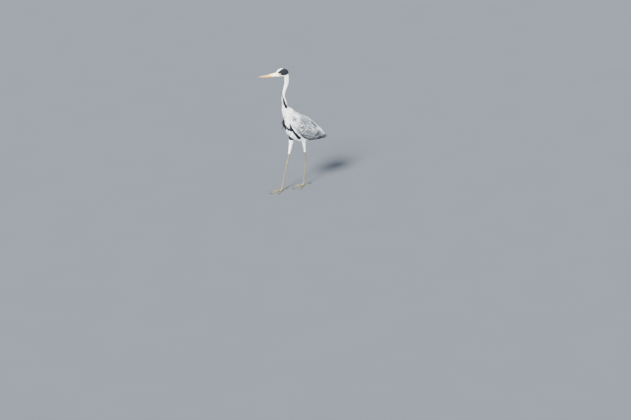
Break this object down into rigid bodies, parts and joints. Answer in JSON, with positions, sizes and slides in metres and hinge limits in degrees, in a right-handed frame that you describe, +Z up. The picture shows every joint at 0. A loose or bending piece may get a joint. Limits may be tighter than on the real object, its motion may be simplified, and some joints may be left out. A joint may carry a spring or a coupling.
{
  "type": "grey heron",
  "caption": "Life-size still model of an adult grey heron in a wading step, neck in an open S and head turned to its right.",
  "frame": {"origin": "middle of the bird's bounding box, at floor level", "axes": "+Z up, the bird faces -Y, +X is its left side"},
  "size_m": [0.1706, 0.4846, 0.7955],
  "materials": {
    "white_plumage": "soft overlapping white feathers with black streaks and bands",
    "grey_plumage": "pale ash-grey wing and tail feathers with whiter edges",
    "silver_plumes": "long loose silver-grey plumes over the shoulders and back",
    "black_plumes": "narrow glossy black plumes",
    "flight_feathers": "blackish folded flight feathers",
    "bill_horn": "yellow-orange horn, greyer towards the tip",
    "leg_skin": "scaly greyish yellow skin",
    "claw_horn": "dark horn",
    "eye": "wet glossy eye, yellow iris and black pupil"
  },
  "bodies": {
    "root": {"trunk": "white_plumage", "head": "white_plumage", "neck_upper": "white_plumage", "neck_middle": "white_plumage", "neck_lower": "white_plumage", "breast_plumes": "white_plumage", "thigh_left": "white_plumage", "thigh_right": "white_plumage", "wing_left": "grey_plumage", "wing_right": "grey_plumage", "tail": "grey_plumage", "cape": "silver_plumes", "nape_plume_left": "black_plumes", "nape_plume_right": "black_plumes", "wing_tip_left": "flight_feathers", "wing_tip_right": "flight_feathers", "bill_upper": "bill_horn", "bill_lower": "bill_horn", "shank_left": "leg_skin", "shank_right": "leg_skin", "tarsus_left": "leg_skin", "tarsus_right": "leg_skin", "toe_middle_left": "leg_skin", "toe_outer_left": "leg_skin", "toe_inner_left": "leg_skin", "toe_hind_left": "leg_skin", "toe_middle_right": "leg_skin", "toe_outer_right": "leg_skin", "toe_inner_right": "leg_skin", "toe_hind_right": "leg_skin", "claw_middle_left": "claw_horn", "claw_outer_left": "claw_horn", "claw_inner_left": "claw_horn", "claw_hind_left": "claw_horn", "claw_middle_right": "claw_horn", "claw_outer_right": "claw_horn", "claw_inner_right": "claw_horn", "claw_hind_right": "claw_horn", "eye_left": "eye", "eye_right": "eye"}
  },
  "joints": []
}
